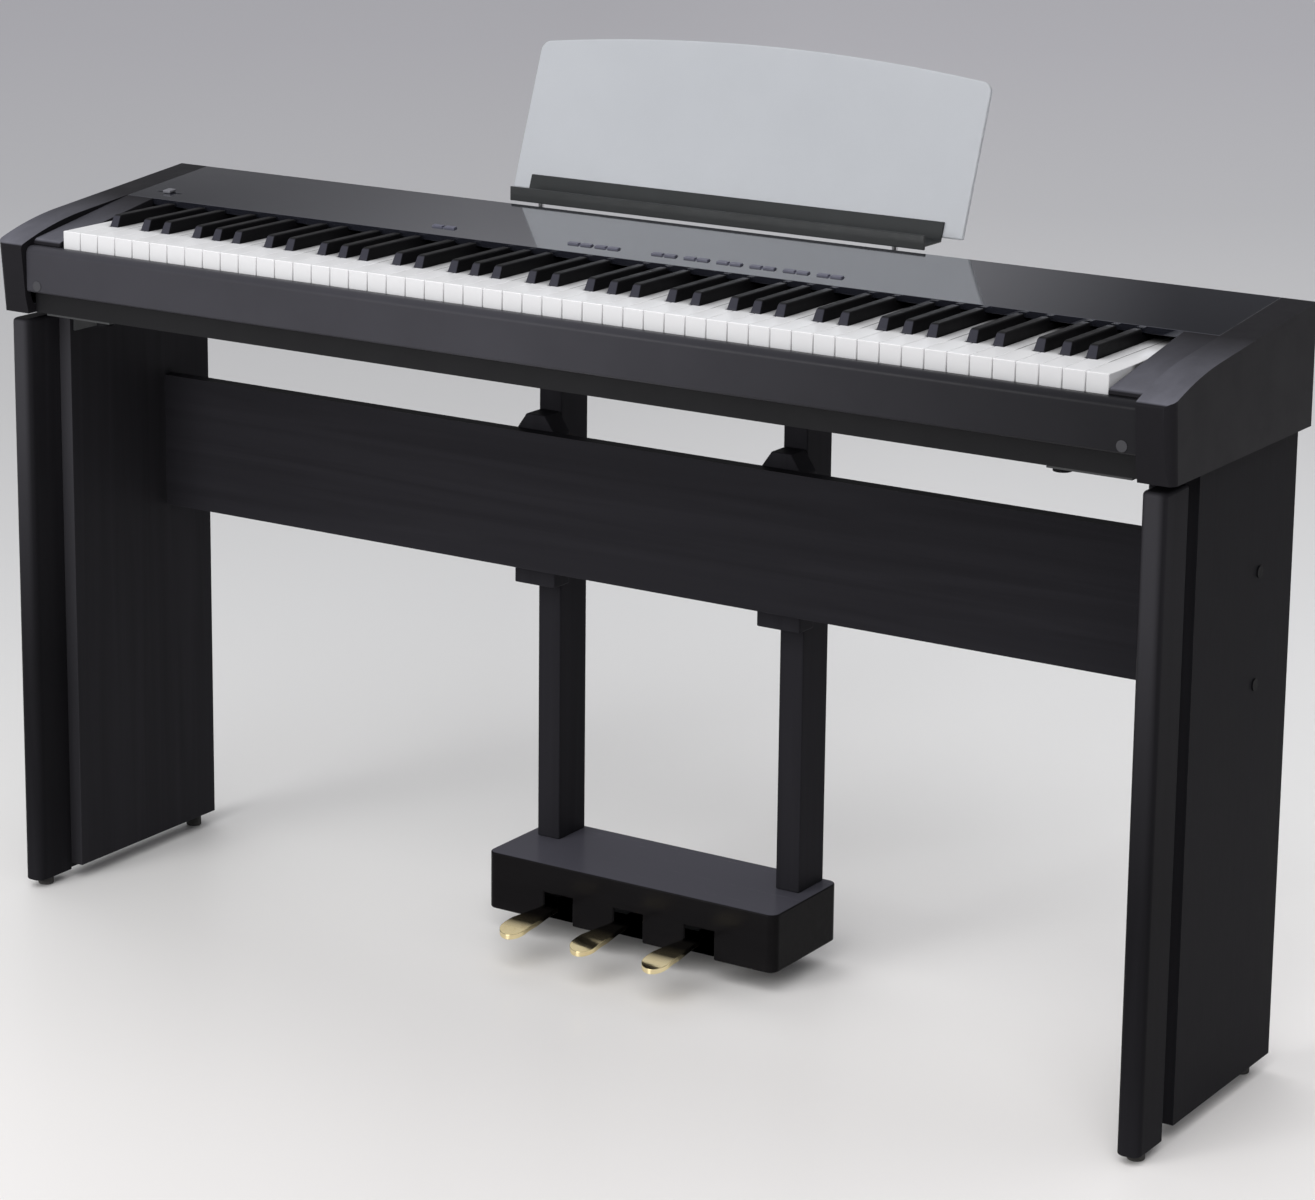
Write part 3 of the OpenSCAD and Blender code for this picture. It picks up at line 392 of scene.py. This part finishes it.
def circuit_board():
    """Green solder mask with darker tracks and pale solder dots."""
    s = Shader("circuit_board", Coat_Weight=0.4, Coat_Roughness=0.2)
    tracks = s.add("ShaderNodeTexBrick", offset=0.5)
    tracks.inputs["Scale"].default_value = 160
    tracks.inputs["Mortar Size"].default_value = 0.012
    tracks.inputs["Color1"].default_value = (0.012, 0.085, 0.04, 1)
    tracks.inputs["Color2"].default_value = (0.016, 0.11, 0.05, 1)
    tracks.inputs["Mortar"].default_value = (0.03, 0.19, 0.08, 1)
    s.join(s.place, tracks.inputs["Vector"])
    dots = s.add("ShaderNodeTexVoronoi")
    dots.inputs["Scale"].default_value = 240
    s.join(s.place, dots.inputs["Vector"])
    solder = s.remap(dots.outputs["Distance"], 0.16, 0.12, 0.0, 1.0)
    s.colour(s.blend(solder, tracks.outputs["Color"], (0.5, 0.5, 0.48)))
    s.roughness(s.remap(s.noise(90, 3, 0.5), 0.3, 0.7, 0.3, 0.5))
    s.bump((tracks.outputs["Fac"], 0.00003))
    return s.material


def speaker_steel():
    """Dark painted steel with a coarse texture."""
    s = Shader("speaker_steel", Specular_IOR_Level=0.4)
    s.colour(s.ramp(s.noise(35, 4, 0.6), [(0.3, (0.018, 0.018, 0.02)), (0.7, (0.04, 0.04, 0.042))]))
    s.roughness(s.remap(s.noise(200, 4, 0.6), 0.3, 0.7, 0.5, 0.7))
    s.bump((s.noise(700, 3, 0.6), 0.00008))
    return s.material


def dull_rubber():
    """Dull moulded rubber that has picked up dust low down."""
    s = Shader("dull_rubber", Specular_IOR_Level=0.3)
    dust = s.math("MULTIPLY", s.remap(s.axis("Z"), 0.0, 0.01, 0.5, 0.0), s.noise(240, 4, 0.7))
    s.colour(s.blend(dust, (0.022, 0.022, 0.022), (0.16, 0.15, 0.14)))
    s.roughness(s.remap(s.noise(160, 4, 0.6), 0.3, 0.7, 0.6, 0.8))
    s.bump((s.noise(900, 3, 0.6), 0.00008))
    return s.material


# One finish for each material slot of the record
FINISH = {
    # The case's upper faces near the front carry a painted highlight
    "case_plastic": satin_plastic("case_plastic", (0.0130, 0.0125, 0.0145), 0.34, level=0.03, nose=0.125),
    "panel_plastic": gloss_plastic("panel_plastic", (0.010, 0.0105, 0.0145), 0.06),
    "white_keys": white_key_plastic(),
    "black_keys": black_key_plastic(),
    "board_laminate": black_laminate("board_laminate_upright", "Z"),
    "brass_plate": brass_plate(),
    "bright_steel": brushed_steel(),
    "dark_steel": powder_coat("dark_steel", (0.030, 0.032, 0.034), 0.42),
    "clear_acrylic": frosted_acrylic(),
    "felt": felt_cloth(),
    "circuit_board": circuit_board(),
    "speaker_body": speaker_steel(),
    "button_plastic": satin_plastic("button_plastic", (0.090, 0.091, 0.125), 0.36),
    "knob_plastic": satin_plastic("knob_plastic", (0.13, 0.13, 0.145), 0.34, level=0.3),
    "glide_plastic": dull_rubber(),
}

# Finishes of single nodes that differ from their slot's
BEAM_LAMINATE = black_laminate("board_laminate_level", "X")
# The pedal box's level top is painted paler, a painted reflection
BOX_LAMINATE = black_laminate("board_laminate_box", "X", (0.0065, 0.0060, 0.0065), 0.22, 0.03, crest=0.058)
# The side boards are toned apart as painted light and shade: the left one paler, the right one darker; the left
# one's front faces carry a painted highlight higher up
LEFT_LAMINATE = black_laminate("board_laminate_left", "Z", (0.0225, 0.022, 0.025), front=0.040)
RIGHT_LAMINATE = black_laminate("board_laminate_right", "Z", (0.0125, 0.0122, 0.0142))
# The pillars carry a painted highlight on their fronts higher up and painted shade low down
PILLAR_LAMINATE = black_laminate(
    "board_laminate_pillar", "Z", (0.017, 0.0165, 0.019), 0.34, 0.01, low=0.45, front=0.036
)
# The key slip is painted darker towards the treble end, as painted shade
SLIP_PLASTIC = satin_plastic("slip_plastic", (0.036, 0.0355, 0.042), 0.36, level=0.1, fade=0.75)
CAP_PLASTIC = satin_plastic("cap_plastic", (0.050, 0.050, 0.055), 0.45, level=0.1)
LEDGE_STEEL = powder_coat("ledge_steel", (0.019, 0.021, 0.022), 0.42, level=0.3)
BOLT_STEEL = powder_coat("bolt_steel", (0.006, 0.006, 0.007), 0.5, level=0.05)
# The chassis is toned darker than the case, a painted shade for its recess under the key slip
CHASSIS_PLASTIC = satin_plastic("chassis_plastic", (0.0085, 0.0085, 0.0095), 0.55, level=0.12)


# ---------------------------------------------------------------- pieces


def rounded(node, width, finish=None, chosen=None, segments=3):
    """Stands for a CAD node: its solid with flat faces made whole and its edges rounded.

    chosen(middle of an edge) gives a share of width, from 0 to 1.
    """
    mesh = bpy.data.meshes.new(node + "_form")
    bm = bmesh.new()
    bm.from_mesh(frame["nodes"][node].data)
    bmesh.ops.remove_doubles(bm, verts=bm.verts, dist=WELD_DISTANCE)
    bmesh.ops.dissolve_limit(bm, angle_limit=math.radians(FLAT_ANGLE), verts=bm.verts, edges=bm.edges)
    share = bm.edges.layers.float.new("bevel_weight_edge")
    for edge in bm.edges:
        if len(edge.link_faces) != 2 or not edge.is_convex:
            continue
        if math.degrees(edge.calc_face_angle(0.0)) < SHARP_ANGLE:
            continue
        middle = (edge.verts[0].co + edge.verts[1].co) / 2
        edge[share] = 1.0 if chosen is None else chosen(middle)
    for face in bm.faces:
        face.smooth = True
        face.material_index = 0
    bm.to_mesh(mesh)
    bm.free()
    mesh.set_sharp_from_angle(angle=math.radians(SHARP_ANGLE))
    piece = bpy.data.objects.new(node + "_form", mesh)
    bpy.context.scene.collection.objects.link(piece)
    bevel = piece.modifiers.new("rounding", "BEVEL")
    bevel.limit_method = "WEIGHT"
    bevel.width = width
    bevel.segments = segments
    bevel.harden_normals = False
    weigh = piece.modifiers.new("shading", "WEIGHTED_NORMAL")
    weigh.keep_sharp = True
    weigh.weight = 80
    mesh.materials.append(finish or FINISH[SLOT_OF[node]])
    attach(piece, BODY_OF[node])
    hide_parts(node)
    return piece


def repaint(node, finish=None):
    """Keeps a CAD node's shape and gives it its finish."""
    solid = frame["nodes"][node]
    solid.data.materials.clear()
    solid.data.materials.append(finish or FINISH[SLOT_OF[node]])


# End caps: a broad rounding along the outer rim, finer ones at the back and elsewhere
for node in ("end_cap_left", "end_cap_right"):
    rim = max(abs(corner.x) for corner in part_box(node))
    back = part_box(node)[1].y
    rounded(node, 2.8 * MM, segments=4, chosen=lambda m, rim=rim, back=back: (
        0.3 if m.y > back - 1 * MM else 1.0 if abs(abs(m.x) - rim) < ON_FACE else 0.25))

rounded("key_slip", 0.8 * MM, SLIP_PLASTIC)
rounded("screw_caps", 0.4 * MM, CAP_PLASTIC)
rounded("music_ledge", 0.6 * MM, LEDGE_STEEL)
rounded("bottom_case", 0.8 * MM, CHASSIS_PLASTIC)
rounded("pedal_cover", 2.8 * MM, BOX_LAMINATE)
repaint("stand_bolts", BOLT_STEEL)
for node, width in (
    ("key_blocks", 1.0), ("rear_panel", 0.6), ("top_panel", 0.3), ("rear_sockets", 0.4), ("rest_blocks", 1.0),
    ("music_panel", 1.4), ("volume_knob", 1.0), ("leg_brackets", 0.6), ("posts", 1.5), ("post_clamps", 1.5),
    ("pedal_base", 0.5), ("leg_glides", 1.2), ("pedal_adjuster", 1.0),
):
    rounded(node, width * MM)

rounded("cross_beam", 1.2 * MM, BEAM_LAMINATE)
rounded("side_board_left", 1.2 * MM, LEFT_LAMINATE)
rounded("side_board_right", 1.2 * MM, RIGHT_LAMINATE)

# Pillars: their tops are rounded over
for node in ("pillar_left", "pillar_right"):
    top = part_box(node)[1].z
    rounded(node, 4 * MM, PILLAR_LAMINATE, segments=4, chosen=lambda m, top=top: (
        1.0 if abs(m.z - top) < ON_FACE else 0.3))

for node in ("rocker_low", "rocker_mid_1", "rocker_mid_2", *("rocker_row_%d" % k for k in range(1, 7))):
    rounded(node, 0.5 * MM)

# Keys: rounded on top and at their fronts
for note in "cdefgab":
    rounded("keys_" + note, 0.8 * MM, chosen=lambda m: (
        1.0 if m.z > KEY_TOP - 0.5 * MM or m.y < KEY_FRONT + ON_FACE else 0.0))
for note in ("c_sharp", "d_sharp", "f_sharp", "g_sharp", "a_sharp"):
    rounded("keys_" + note, 1.3 * MM, chosen=lambda m: 1.0 if m.z > KEY_TOP + 0.2 * MM else 0.0)

# Pedals: softly rounded all over
for node in ("pedal_left", "pedal_centre", "pedal_right"):
    rounded(node, 1.8 * MM, segments=4)

# Pieces that keep their CAD shape
for node in (
    "key_frame", "pivot_rail", "key_felts", "main_board", "panel_board", "speakers", "rest_rods",
    "rest_screws", "pedal_axle", "pedal_springs",
):
    repaint(node)


# ---------------------------------------------------------------- floor, light and camera


def studio_floor():
    """A wide pale floor, painted greyer with distance as painted shade and paler to the right near the piano as
    painted light; it holds soft shadows.
    """
    s = Shader("studio_floor", Specular_IOR_Level=0.25)
    # How far a point lies ahead of the camera and to its right, on the floor
    turn_sine, turn_cosine = 0.54, 0.842
    away = s.math("ADD", s.math("MULTIPLY", s.axis("X"), -turn_sine), s.math("MULTIPLY", s.axis("Y"), turn_cosine))
    right = s.math("ADD", s.math("MULTIPLY", s.axis("X"), turn_cosine), s.math("MULTIPLY", s.axis("Y"), turn_sine))
    # Painted shade: greyer with distance
    tone = s.ramp(s.remap(away, -2.0, 9.0, 0.0, 1.0), [
        (0.0, (0.79, 0.772, 0.758)), (0.145, (0.79, 0.772, 0.758)), (0.225, (0.735, 0.73, 0.72)),
        (0.305, (0.64, 0.64, 0.638)), (0.42, (0.53, 0.53, 0.532)), (0.605, (0.43, 0.43, 0.444)),
        (0.86, (0.385, 0.38, 0.404)), (1.0, (0.37, 0.366, 0.389)),
    ])
    # Painted light: paler towards the right, near the piano
    lit = s.math("MULTIPLY", s.remap(right, -0.2, 0.45, 0.0, 1.0), s.remap(away, 3.0, 0.6, 0.45, 1.0))
    paler = 1.18
    s.colour(s.blend(lit, tone, s.blend(1.0, tone, (paler,) * 3, "MULTIPLY")))
    s.surface.inputs["Roughness"].default_value = 0.32
    mesh = bpy.data.meshes.new("floor")
    bm = bmesh.new()
    bmesh.ops.create_grid(bm, x_segments=24, y_segments=24, size=FLOOR_HALF_SIZE)
    bm.to_mesh(mesh)
    bm.free()
    floor = bpy.data.objects.new("floor", mesh)
    floor.location.z = -FLOOR_GAP
    bpy.context.scene.collection.objects.link(floor)
    mesh.materials.append(s.material)


def soft_box(name, place, aim, size, power, spread=180.0):
    """An area lamp at place that looks at aim; power in watts, spread in degrees."""
    lamp = bpy.data.lights.new(name, "AREA")
    lamp.shape = "RECTANGLE"
    lamp.size, lamp.size_y = size
    lamp.energy = power
    lamp.spread = math.radians(spread)
    holder = bpy.data.objects.new(name, lamp)
    holder.visible_camera = False
    holder.location = place
    holder.rotation_mode = "QUATERNION"
    holder.rotation_quaternion = (Vector(aim) - Vector(place)).to_track_quat("-Z", "Y")
    bpy.context.scene.collection.objects.link(holder)


def broad_lamp(name, toward, strength, spread):
    """A far lamp that shines evenly from a direction; spread is how wide it looks, in degrees."""
    lamp = bpy.data.lights.new(name, "SUN")
    lamp.energy = strength
    lamp.angle = math.radians(spread)
    holder = bpy.data.objects.new(name, lamp)
    holder.rotation_mode = "QUATERNION"
    holder.rotation_quaternion = Vector(toward).to_track_quat("Z", "Y")
    holder.visible_glossy = False
    bpy.context.scene.collection.objects.link(holder)


def graded(tree, value, stops):
    """A grey ramp over a value."""
    ramp = tree.nodes.new("ShaderNodeValToRGB")
    points = ramp.color_ramp.elements
    while len(points) < len(stops):
        points.new(0.5)
    for point, (where, level) in zip(points, stops):
        point.position = where
        point.color = (level, level, 1.03 * level, 1)
    tree.links.new(value, ramp.inputs["Fac"])
    return ramp.outputs["Color"]


def studio_world():
    """A soft dome: bright overhead, with dim walls that have a paler strip halfway up."""
    world = bpy.data.worlds.new("studio")
    bpy.context.scene.world = world
    world.use_nodes = True
    tree = world.node_tree
    place = tree.nodes.new("ShaderNodeTexCoord")
    split = tree.nodes.new("ShaderNodeSeparateXYZ")
    tree.links.new(place.outputs["Generated"], split.inputs["Vector"])
    dome = graded(tree, split.outputs["Z"], (
        (0.0, 0.34), (0.30, 0.34), (0.316, 0.18), (0.335, 0.275), (0.356, 0.41), (0.372, 0.30), (0.385, 0.165),
        (0.395, 0.05), (0.42, 0.05), (0.62, 0.58), (1.0, 0.84),
    ))
    # The paler strip fades towards both of its ends
    sideways = tree.nodes.new("ShaderNodeMapRange")
    sideways.inputs["From Min"].default_value = -1
    tree.links.new(split.outputs["X"], sideways.inputs["Value"])
    ends = graded(
        tree, sideways.outputs["Result"], ((0.17, 0.225), (0.215, 1.0), (0.265, 0.85), (0.292, 0.185))
    )
    strip = graded(tree, split.outputs["Z"], ((0.30, 0.0), (0.31, 1.0), (0.385, 1.0), (0.395, 0.0)))
    total = tree.nodes.new("ShaderNodeMix")
    total.data_type = "RGBA"
    total.blend_type = "MULTIPLY"
    tree.links.new(strip, total.inputs[0])
    tree.links.new(dome, total.inputs[6])
    tree.links.new(ends, total.inputs[7])
    ground = tree.nodes["Background"]
    tree.links.new(total.outputs[2], ground.inputs["Color"])
    ground.inputs["Strength"].default_value = 1.0


def main_camera():
    """Stands right of the player, higher than the music rest, and looks down to the left."""
    yaw, pitch, roll = (math.radians(angle) for angle in CAMERA_TURNS)
    turn = Matrix.Rotation(yaw, 3, "Z") @ Matrix.Rotation(pitch, 3, "X") @ Matrix.Rotation(roll, 3, "Y")
    right, ahead, up = (turn @ Vector(axis) for axis in ((1, 0, 0), (0, 1, 0), (0, 0, 1)))
    data = bpy.data.cameras.new("camera")
    data.sensor_fit = "HORIZONTAL"
    data.sensor_width = CAMERA_SENSOR
    data.lens = CAMERA_LENS
    data.shift_y = CAMERA_SHIFT
    camera = bpy.data.objects.new("camera", data)
    camera.matrix_world = Matrix((right, up, -ahead)).transposed().to_4x4()
    x, y, z = CAMERA_PLACE
    camera.location = (x, KEY_FRONT + y, z)
    bpy.context.scene.collection.objects.link(camera)
    bpy.context.scene.camera = camera


studio_floor()
studio_world()
broad_lamp("key_light", (-0.55, 0.34, 0.76), 0.45, 40)
broad_lamp("fill_light", (0.12, -0.68, 0.72), 1.8, 60)
soft_box("front_light", (-1.0, -2.5, 1.15), (-0.35, -0.2, 0.72), (1.2, 0.8), 8, 90)
main_camera()
bpy.context.scene.view_settings.view_transform = "Standard"
